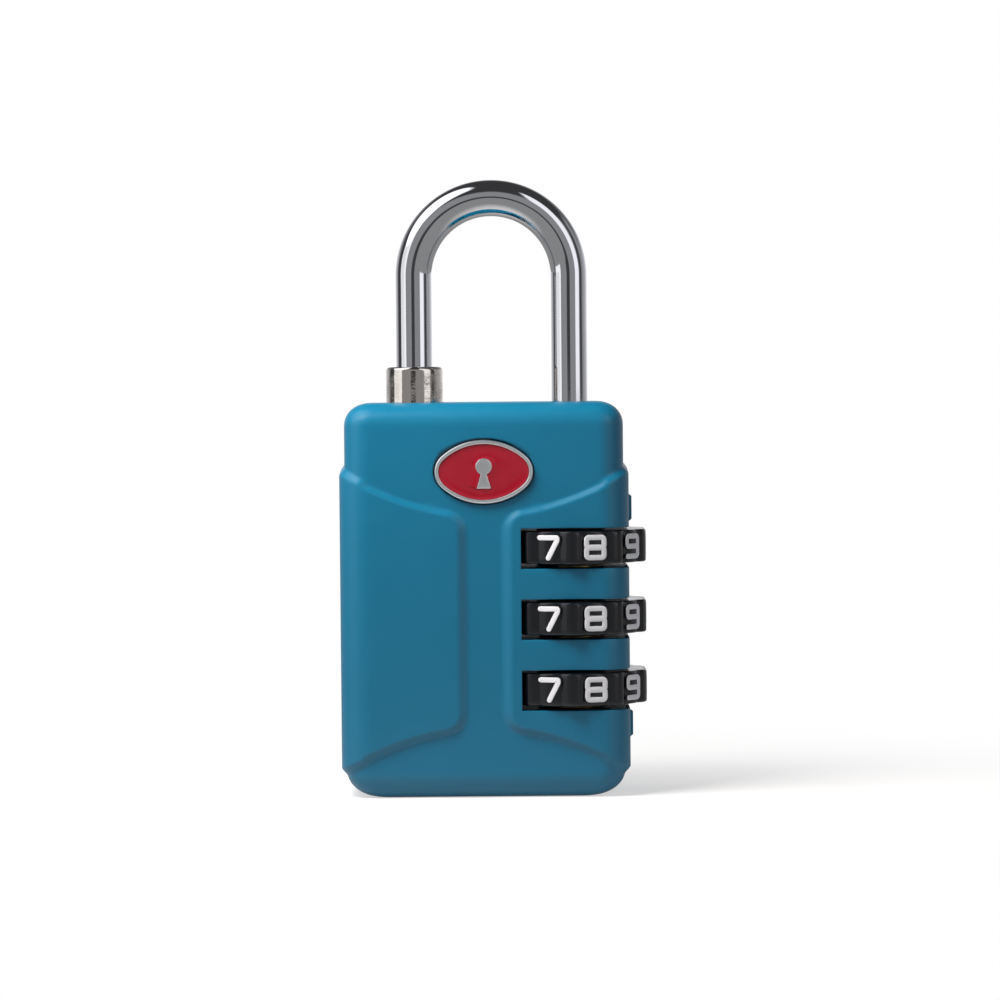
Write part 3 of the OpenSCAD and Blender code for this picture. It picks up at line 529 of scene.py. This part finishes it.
shell_piece(*shell_skin(with_badge=True), "front_shell_skin", "front_shell")
rear_points, rear_keep, rear_thick = (grid[:, ::-1] for grid in shell_skin(with_badge=False))
shell_piece(rear_points * np.array([1, -1, 1]), rear_keep, rear_thick, "rear_shell_skin", "rear_shell")
for rib_name, rib_shapes in (("front_shell_ribs", shell_ribs()), ("rear_shell_ribs", to_back(shell_ribs()))):
    ribs = piece(rib_name, rib_shapes, abs_shell, "body")
    keep_creases(ribs)


# ---- the shackle and its collar ----

def lathe(x, profile, turns=96, ripple=0.0):
    """Closed ring turned about the upright axis at x: profile is a closed loop of (radius, height).
    ripple is the height of a cast surface's lumps, a sum of sines round and along it."""
    profile = np.array(profile, float)
    t = np.linspace(0, 2 * np.pi, turns, endpoint=False)[:, None]
    r, z = profile[:, 0][None], profile[:, 1][None]
    lumps = np.sin(7 * t + 3 * z) * np.sin(5.3 * z + 2 * t) + 0.6 * np.sin(17 * t - 6 * z) * np.sin(9 * z)
    r = r + ripple * lumps * (r > rod_r + 0.4)
    points = np.stack([x + r * np.cos(t), r * np.sin(t), z + 0 * t], -1)
    return outward(surface(points, wrap_rows=True, wrap_cols=True))


def arc_2d(cx, cy, r, a, b, n=6):
    """Points of an arc in a profile, from angle a to b in degrees."""
    t = np.radians(np.linspace(a, b, n))
    return np.column_stack([cx + r * np.cos(t), cy + r * np.sin(t)])


def rod_shape():
    """The bent rod: a circle of the rod's radius carried up the short leg, round the half-circle
    arch and down the long leg, closed at both ends by rings that shrink to a point."""
    tip = collar_high[2] + TIP_CLEAR - shackle_rise
    foot = rod_low[2]
    bend = np.linspace(np.pi, 0, 97)
    path = np.concatenate([
        np.column_stack([np.full(8, short_x), np.linspace(tip + 0.5, arch_z - 0.5, 8)]),
        np.column_stack([arch_x + arch_r * np.cos(bend), arch_z + arch_r * np.sin(bend)]),
        np.column_stack([np.full(8, long_x), np.linspace(arch_z - 0.5, foot, 8)])])
    ahead = np.concatenate([np.tile([0, 1.0], (8, 1)), np.column_stack([np.sin(bend), -np.cos(bend)]),
                            np.tile([0, -1.0], (8, 1))])
    radius = np.full(len(path), rod_r)
    ease = arc_2d(0, 0, 0.5, 0, 90)                  # rounding of the short leg's tip
    start = np.column_stack([np.full(6, short_x), tip + 0.5 - ease[:, 1]])[::-1]
    path = np.concatenate([[[short_x, tip]], start, path, [path[-1]]])
    ahead = np.concatenate([np.tile([0, 1.0], (7, 1)), ahead, [ahead[-1]]])
    radius = np.concatenate([[1e-4], (rod_r - 0.5 + ease[:, 0])[::-1], radius, [1e-4]])
    t = np.linspace(0, 2 * np.pi, 64, endpoint=False)
    outx, outz = -ahead[:, 1], ahead[:, 0]
    x = path[:, :1] + radius[:, None] * np.cos(t) * outx[:, None]
    z = path[:, 1:] + radius[:, None] * np.cos(t) * outz[:, None]
    y = radius[:, None] * np.sin(t)
    return outward(surface(np.stack([x, y, z], -1), wrap_cols=True))


shackle_rod = piece("shackle_rod", [rod_shape()], chrome, "rising_shackle", ["shackle"])
keep_creases(shackle_rod, 40)

collar_top = collar_high[2]
collar_profile = np.concatenate([
    [[rod_r + 0.06, collar_low[2]], [COLLAR_R, collar_low[2]], [COLLAR_R, 37.9], [3.85, 38.2], [3.85, 39.3]],
    [[COLLAR_R, 39.35]], np.column_stack([np.full(14, COLLAR_R), np.linspace(39.8, collar_top - 0.45, 14)]),
    arc_2d(COLLAR_R - 0.4, collar_top - 0.4, 0.4, 10, 90),
    arc_2d(rod_r + 0.36, collar_top - 0.3, 0.3, 90, 180),
    [[rod_r + 0.06, collar_top - 0.8]]])
collar_shape = lathe(short_x, collar_profile, 128, ripple=0.006)
piece("collar_casting", [collar_shape], cast_nickel, "body", ["shackle_collar"])


# ---- the dials ----

MARK_ANGLE = 36.0        # from one number to the next


def dial_shape(name):
    """A ten-sided ring. Its radius at angle t from a flat's middle is flat / cos t, blunted to a
    circle near each edge; the closed profile runs from the bore over the lower boss, the lower face
    and its rounded edge, up the side and back over the upper face."""
    low, high = dial_boxes[name]
    z0, z1 = low[2] + BOSS_DOWN, high[2] - BOSS_UP
    half = MARK_ANGLE / 2
    local = np.concatenate([np.linspace(-half, -13, 6), np.linspace(-9, 9, 5),
                            np.linspace(13, half, 6)[:-1]])
    t = (local[None, :] + MARK_ANGLE * (np.arange(10)[:, None] + 0.5)).reshape(-1)
    local = np.tile(local, 10)
    blunt = 1.5                                      # radius of a blunted edge
    centre = (dial_flat - blunt) / np.cos(np.radians(half))
    off = np.radians(half - np.abs(local))
    bow = blunt ** 2 - (centre * np.sin(off)) ** 2
    rounded = centre * np.cos(off) + np.sqrt(np.maximum(bow, 0))
    flat = dial_flat / np.cos(np.radians(local))
    outer = np.where(bow > 0, np.minimum(flat, rounded), flat)
    soft = 0.22                                      # rounding of the rim's upper and lower edges
    rim = arc_2d(0, 0, soft, -90, 0, 5)
    bore, boss = STACK_R, STACK_R + 0.3
    # rows: share of the outer outline, fixed radius, height
    rows = [(0, bore, low[2]), (0, boss - 0.05, low[2]), (0, boss, low[2] + 0.05), (0, boss, z0 - 0.04),
            (0, boss + 0.04, z0), (0, boss + 0.5, z0), (1, -soft - 0.6, z0)]
    rows += [(1, r - soft, z0 + soft + z) for r, z in rim]
    rows += [(1, 0.0, z0 + 0.6), (1, 0.0, z1 - 0.6)]
    rows += [(1, r - soft, z1 - soft - z) for r, z in rim[::-1]]
    rows += [(1, -soft - 0.6, z1), (0, boss + 0.5, z1), (0, boss + 0.04, z1), (0, boss, z1 + 0.04),
             (0, boss, high[2] - 0.05), (0, boss - 0.05, high[2]), (0, bore, high[2])]
    share, plus, z = np.array(rows).T
    r = share[None, :] * outer[:, None] + plus[None, :]
    a = np.radians(t)[:, None]
    points = np.stack([dial_x + r * np.sin(a), -r * np.cos(a), z[None, :] + 0 * a], -1)
    return outward(surface(points, wrap_rows=True, wrap_cols=True))


def bent(points, radius, closed=False, n=6):
    """A line through points with its corners rounded to radius by quadratic curves."""
    points = [np.array(p, float) for p in points]
    count = len(points)
    out = []
    for i in range(count):
        if not closed and i in (0, count - 1):
            out.append(points[i][None])
            continue
        before, here, after = points[i - 1], points[i], points[(i + 1) % count]
        to_a, to_b = before - here, after - here
        cut = min(radius, 0.49 * np.linalg.norm(to_a), 0.49 * np.linalg.norm(to_b))
        a, b = here + to_a / np.linalg.norm(to_a) * cut, here + to_b / np.linalg.norm(to_b) * cut
        f = np.linspace(0, 1, n)[:, None]
        out.append((1 - f) ** 2 * a + 2 * f * (1 - f) * here + f ** 2 * b)
    if closed:
        out.append(out[0][:1])
    return np.concatenate(out)


# Numbers as strokes in a box from (-1, -1) to (1, 1): points, corner radius, and whether it closes
NUMBER_STROKES = {
    0: [([(-1, -1), (1, -1), (1, 1), (-1, 1)], 0.75, True)],
    1: [([(-0.55, 0.6), (0.1, 1)], 0.1, False), ([(0.1, 1), (0.1, -1)], 0.1, False)],
    2: [([(-1, 0.55), (-1, 1), (1, 1), (1, 0.1), (-1, -0.35), (-1, -1), (1, -1)], 0.5, False)],
    3: [([(-1, 1), (1, 1), (1, 0.02), (-0.3, 0.02)], 0.5, False),
        ([(-0.3, 0.0), (1, 0.0), (1, -1), (-1, -1)], 0.5, False)],
    4: [([(0.45, -1), (0.45, 1)], 0.08, False), ([(0.45, 1), (-1, -0.4), (1, -0.4)], 0.08, False)],
    5: [([(0.95, 1), (-0.9, 1), (-0.9, 0.1), (1, 0.1), (1, -1), (-1, -1)], 0.4, False)],
    6: [([(0.2, 0.0), (-0.95, 0.0)], 0.32, False),
        ([(0.95, 1), (-1, 1), (-1, -1), (1, -1), (1, 0.0), (0.2, 0.0)], 0.32, False)],
    7: [([(-1, 1), (0.95, 1), (0.95, 0.72), (-0.05, -1)], 0.12, False)],
    8: [([(-0.86, 0.03), (0.86, 0.03), (1, 0.17), (1, 1), (-1, 1), (-1, 0.17)], 0.3, True),
        ([(-0.86, -0.03), (0.86, -0.03), (1, -0.17), (1, -1), (-1, -1), (-1, -0.17)], 0.3, True)],
    9: [([(0.95, 0.0), (-0.2, 0.0)], 0.32, False),
        ([(-0.2, 0.0), (-1, 0.0), (-1, 1), (1, 1), (1, -1), (-0.95, -1)], 0.32, False)],
}
NUMBER_HALF = (0.95, 1.04)   # half width and half height between the strokes' middles
STROKE = 0.54
INK_PROUD = 0.05
OVERLAY = 0.004              # a number's second stroke stands this far over its first


def stroke_shape(points, radius, closed):
    """One raised stroke on a flat: a low mound (flat top, rounded shoulders) carried along the line.
    At an open end the mound narrows over half its width as a half circle does. Returns points as
    (along the flat, height on the flat, out of the flat)."""
    line = bent([np.array(p) * NUMBER_HALF for p in points], radius, closed)
    line = line[np.concatenate([[True], np.linalg.norm(np.diff(line, axis=0), axis=1) > 1e-4])]
    ahead = np.gradient(line, axis=0)
    if closed:
        line = line[:-1]
        ahead = np.roll(line, -1, 0) - np.roll(line, 1, 0)
    width = np.full(len(line), STROKE / 2)
    if not closed:
        ends = np.radians([90, 75, 60, 45, 30, 15])
        first, last = ahead[0] / np.linalg.norm(ahead[0]), ahead[-1] / np.linalg.norm(ahead[-1])
        line = np.concatenate([line[0] - np.outer(np.sin(ends), first) * STROKE / 2, line,
                               line[-1] + np.outer(np.sin(ends[::-1]), last) * STROKE / 2])
        ahead = np.concatenate([np.tile(first, (6, 1)), ahead, np.tile(last, (6, 1))])
        narrow = np.cos(ends) * STROKE / 2 + 1e-4
        width = np.concatenate([narrow, width, narrow[::-1]])
    ahead = ahead / np.linalg.norm(ahead, axis=1, keepdims=True)
    across = np.column_stack([-ahead[:, 1], ahead[:, 0]])
    # mound: place across as a share of the half width, and height as a share of the ink
    mound = np.array([(-1, -1), (-1, 0.4), (-0.93, 0.8), (-0.8, 1), (0, 1), (0.8, 1), (0.93, 0.8),
                      (1, 0.4), (1, -1)])
    flat = line[:, None, :] + across[:, None, :] * (width[:, None] * mound[None, :, 0])[..., None]
    out = np.broadcast_to(mound[None, :, 1:], flat.shape[:2] + (1,)) * INK_PROUD
    return surface(np.concatenate([flat, out], -1), wrap_rows=closed, wrap_cols=True)


def numbers_shape(name):
    """All ten numbers of a dial: each glyph's flat points are set on its own flat, whose middle is
    at an angle that grows by 36 degrees a number, with 0 facing the right."""
    low, high = dial_boxes[name]
    mid = (low[2] + BOSS_DOWN + high[2] - BOSS_UP) / 2
    shapes = []
    for number, strokes in NUMBER_STROKES.items():
        a = np.radians(90 + MARK_ANGLE * number)
        out, along = np.array([np.sin(a), -np.cos(a), 0]), np.array([np.cos(a), np.sin(a), 0])
        for level, stroke in enumerate(strokes):
            v, f = stroke_shape(*stroke)
            away = dial_flat + v[:, 2:] + OVERLAY * level
            v, f = outward((v[:, :1] * along + away * out + v[:, 1:2] * np.array([0, 0, 1.0]), f))
            shapes.append((v + np.array([dial_x, 0, mid]), f))
    return shapes


for dial_name in dials:
    body_name = dial_name + "_set"
    ring = piece(dial_name + "_ring", [dial_shape(dial_name)], abs_dial, body_name,
                 [dial_name])
    keep_creases(ring, 40)
    piece(dial_name + "_numbers", numbers_shape(dial_name), number_ink, body_name)


# ---- the badge ----

def badge_rings(rings, n=160):
    """Closed band round the oval: each ring is (growth of the oval, place along Y)."""
    t = np.linspace(0, 2 * np.pi, n, endpoint=False)
    rows = []
    for grow, y in rings:
        x, z = oval(t, grow)
        rows.append(np.stack([x, np.full(n, y), badge_z + z], -1))
    return np.stack(rows)


def keyhole(n):
    """Outline of the keyhole, evenly spaced from its right side: a circle above a flared foot."""
    neck = np.degrees(np.arcsin(0.3 / 0.85))
    head = arc_2d(0, 0.55, 0.85, 0, 270 - neck, 40)
    tail = arc_2d(0, 0.55, 0.85, -90 + neck, 0, 16)
    outline = np.concatenate([head, [[-0.75, -1.75], [0.75, -1.75]], tail])
    return resample(outline, n + 1)[:-1]


badge_front = badge_low[1]
badge_back = badge_high[1]
floor_y = badge_front + 0.40
rim = [(-0.35, badge_back), (0.0, badge_back), (0.0, badge_front + 0.22)]
rim += [(r - 0.2, badge_front + 0.2 - z) for r, z in arc_2d(0, 0, 0.2, 15, 90, 5)]
rim += [(-0.5 - r + 0.18, badge_front + 0.1 - z) for r, z in arc_2d(0, 0, 0.1, 90, 0, 4)]
rim += [(-0.42, floor_y + 0.1), (-0.5, badge_back - 0.2)]
rim_rows = badge_rings(rim)
rim_shape = outward(surface(rim_rows, wrap_rows=True, wrap_cols=True))
badge_rim = piece("badge_rim", [rim_shape], badge_metal, "body", ["badge_plate"])
keep_creases(badge_rim, 40)

hole_n = 160
key = keyhole(hole_n)
key_xyz = np.column_stack([key[:, 0], np.zeros(hole_n), badge_z + key[:, 1]])
key_mid = np.array([0, 0, badge_z - 0.1])
levels = [(1.0, floor_y), (1.0, badge_front + 0.14), (0.97, badge_front + 0.09), (0.9, badge_front + 0.07),
          (0.45, badge_front + 0.06), (1e-4, badge_front + 0.06)]
key_rows = np.stack([key_mid + (key_xyz - key_mid) * s + np.array([0, y, 0]) for s, y in levels])
key_top = piece("badge_keyhole", [surface(key_rows, wrap_cols=True)], badge_metal, "body")
thicken(key_top, 0.05)

edge = badge_rings([(-0.42, 0)], hole_n)[0]
shares = np.array([0, 0.02, 0.05, 0.12, 0.3, 0.5, 0.7, 0.86, 0.94, 0.98, 1.0])
dish = badge_front + 0.17 - 0.07 * (np.abs(2 * shares - 1) ** 6)      # enamel climbs a little at its edges
shares, dish = np.append(shares, [1, 0]), np.append(dish, [badge_front + 0.32] * 2)      # and its back
enamel_rows = edge[None] + (key_xyz - edge)[None] * shares[:, None, None]
enamel_rows[..., 1] = dish[:, None]
enamel_shape = outward(surface(enamel_rows, wrap_rows=True, wrap_cols=True))
piece("badge_enamel_fill", [enamel_shape], enamel, "body", ["badge_enamel"])


# ---- studio ----

def studio_world():
    """White to the eye. What shines in the object is a grey room with a white wall behind it, a tall
    soft light on the right that bends over to the upper right, a round one at the upper left, a dark
    ceiling between them, dark gaps at the sides, and a small dark spot in front."""
    world = bpy.data.worlds.new("studio")
    bpy.context.scene.world = world
    world.use_nodes = True
    tree = world.node_tree
    tree.nodes.clear()
    where = add(tree, "ShaderNodeTexCoord").outputs["Generated"]
    xyz = add(tree, "ShaderNodeSeparateXYZ", {"Vector": where})

    def ease(value, low, high):
        """0 below low, 1 above high, smooth between them."""
        return add(tree, "ShaderNodeMapRange", {"Value": value, "From Min": low, "From Max": high},
                   interpolation_type="SMOOTHSTEP").outputs["Result"]

    def math(operation, a, b):
        return add(tree, "ShaderNodeMath", {0: a, 1: b}, operation=operation).outputs[0]

    def towards(direction):
        """Cosine of the angle to a direction."""
        unit = np.array(direction) / np.linalg.norm(direction)
        dot = add(tree, "ShaderNodeVectorMath", {0: where, 1: unit.tolist()}, operation="DOT_PRODUCT")
        return dot.outputs["Value"]

    def blend(level, target, share):
        """Moves level to the target by the share."""
        moved = add(tree, "ShaderNodeMapRange", {"Value": share, "To Min": level, "To Max": target})
        return moved.outputs["Result"]

    front = math("MULTIPLY", xyz.outputs["Y"], -1.0)
    around = math("ARCTAN2", xyz.outputs["X"], front)
    share = add(tree, "ShaderNodeMapRange", {"Value": around, "From Min": -np.pi, "From Max": np.pi})
    bands = add(tree, "ShaderNodeValToRGB", {"Fac": share.outputs["Result"]})
    # (degrees from the front, towards the right; brightness)
    stops = [(-180, 1.3), (-150, 0.85), (-124, 0.5), (-112, 0.07), (-68, 0.06), (-58, 0.33), (-20, 0.36),
             (70, 0.32), (76, 0.06), (86, 0.08), (96, 0.35), (120, 0.55), (150, 1.0), (180, 1.3)]
    ramp = bands.color_ramp
    while len(ramp.elements) < len(stops):
        ramp.elements.new(0.5)
    for element, (angle, level) in zip(ramp.elements, stops):
        element.position = (angle + 180) / 360
        element.color = (level, level, level, 1)
    level = add(tree, "ShaderNodeSeparateColor", {"Color": bands.outputs["Color"]}).outputs["Red"]
    high_back = math("MULTIPLY", ease(xyz.outputs["Z"], 0.08, 0.5), ease(xyz.outputs["Y"], 0.1, 0.5))
    level = math("MULTIPLY", level, blend(1.0, 0.25, high_back))                         # top of the wall
    level = blend(level, 0.055, ease(xyz.outputs["Z"], 0.55, 0.68))                      # ceiling
    in_band = math("MULTIPLY", ease(front, 0.36, 0.42), ease(math("MULTIPLY", front, -1.0), -0.78, -0.73))
    right_light = math("MULTIPLY", ease(xyz.outputs["X"], 0.27, 0.34), in_band)
    level = blend(level, 1.35, right_light)
    level = blend(level, 1.9, ease(towards((-0.63, -0.17, 0.75)), 0.86, 0.91))           # upper left light
    level = blend(level, 0.06, ease(towards((-0.07, -1.0, -0.02)), 0.976, 0.993))        # dark spot
    colour = add(tree, "ShaderNodeCombineColor", {
        "Red": level, "Green": level, "Blue": math("MULTIPLY", level, 1.03)})
    seen = add(tree, "ShaderNodeLightPath").outputs["Is Camera Ray"]
    room = add(tree, "ShaderNodeBackground", {"Color": colour.outputs["Color"], "Strength": 1.0})
    white = add(tree, "ShaderNodeBackground", {"Color": (1, 1, 1, 1), "Strength": 1.0})
    both = add(tree, "ShaderNodeMixShader", {0: seen, 1: room.outputs[0], 2: white.outputs[0]})
    add(tree, "ShaderNodeOutputWorld", {"Surface": both.outputs[0]})


FLOOR_GAP = 0.02             # the floor lies this far under the base


def pale_floor():
    """A round pale floor that turns into the white of the background further out. It is clear from
    below."""
    n = 64
    t = np.linspace(0, 2 * np.pi, n, endpoint=False)
    reach = np.array([1e-3, 60, 150, 400, 4000])[:, None]
    rows = np.stack([reach * np.cos(t), reach * np.sin(t), 0 * reach * t - FLOOR_GAP], -1)
    v, f = surface(rows, wrap_cols=True)
    mesh = bpy.data.meshes.new("floor")
    mesh.from_pydata((v * MM).tolist(), [], f[:, ::-1].tolist())
    obj = bpy.data.objects.new("floor", mesh)
    bpy.context.collection.objects.link(obj)
    material = bpy.data.materials.new("pale_card")
    material.use_nodes = True
    tree = material.node_tree
    tree.nodes.clear()
    place = add(tree, "ShaderNodeTexCoord").outputs["Object"]
    far = add(tree, "ShaderNodeVectorMath", {0: place}, operation="LENGTH")
    fade = add(tree, "ShaderNodeMapRange", {"Value": far.outputs["Value"], "From Min": 0.01, "From Max": 0.09,
                                            "To Min": 0.55}, interpolation_type="SMOOTHSTEP")
    card = add(tree, "ShaderNodeBsdfDiffuse", {"Color": (0.9, 0.9, 0.9, 1)})
    seen = add(tree, "ShaderNodeLightPath").outputs["Is Camera Ray"]
    bright = add(tree, "ShaderNodeMapRange", {"Value": seen, "To Min": 0.35, "To Max": 1.0})
    glow = add(tree, "ShaderNodeEmission", {"Color": (1, 1, 1, 1), "Strength": bright.outputs["Result"]})
    both = add(tree, "ShaderNodeMixShader", {
        0: fade.outputs["Result"], 1: card.outputs[0], 2: glow.outputs[0]})
    below = add(tree, "ShaderNodeNewGeometry").outputs["Backfacing"]
    clear = add(tree, "ShaderNodeBsdfTransparent")
    shown = add(tree, "ShaderNodeMixShader", {0: below, 1: both.outputs[0], 2: clear.outputs[0]})
    add(tree, "ShaderNodeOutputMaterial", {"Surface": shown.outputs[0]})
    mesh.materials.append(material)


def soft_light(name, place, size, power):
    """A square soft light at place (millimetres), turned to the middle of the body."""
    data = bpy.data.lights.new(name, "AREA")
    data.size = size * MM
    data.energy = power
    obj = bpy.data.objects.new(name, data)
    bpy.context.collection.objects.link(obj)
    aim_at(obj, place, (1.7, 0, 30))
    return obj


def aim_at(obj, place, target, roll=0.0):
    """Puts obj at place and points its -Z at target, its +Y up, rolled by roll degrees."""
    place, target = np.array(place, float), np.array(target, float)
    back = (place - target) / np.linalg.norm(place - target)
    right = np.cross([0, 0, 1.0], back)
    right /= np.linalg.norm(right)
    up = np.cross(back, right)
    c, s = np.cos(np.radians(roll)), np.sin(np.radians(roll))
    right, up = c * right + s * up, c * up - s * right
    m = np.eye(4)
    m[:3, 0], m[:3, 1], m[:3, 2], m[:3, 3] = right, up, back, place * MM
    obj.matrix_world = m.T.tolist()


studio_world()
pale_floor()
soft_light("key_left", (-400, -150, 150), 300, 0.3)
near = soft_light("near_left", (-45, -45, 110), 50, 0.23)
near.data.color = (1.0, 0.93, 0.86)
near.visible_glossy = False      # it lights the top left most, and doesn't show in the chrome

AIM = (1.66, 0.0, 30.7)      # point that the camera looks at
CAMERA_FAR = 420.0
CAMERA_UP = 1.9              # degrees above the level
CAMERA_ROLL = -0.5
tilt = np.radians(CAMERA_UP)
camera_data = bpy.data.cameras.new("camera")
camera_data.sensor_width = 36
camera_data.lens = 144
camera_data.clip_start = 0.01
camera = bpy.data.objects.new("camera", camera_data)
bpy.context.collection.objects.link(camera)
aim_at(camera, (AIM[0], -CAMERA_FAR * np.cos(tilt), AIM[2] + CAMERA_FAR * np.sin(tilt)), AIM, CAMERA_ROLL)
bpy.context.scene.camera = camera
bpy.context.scene.view_settings.view_transform = "Standard"

bpy.context.view_layer.update()
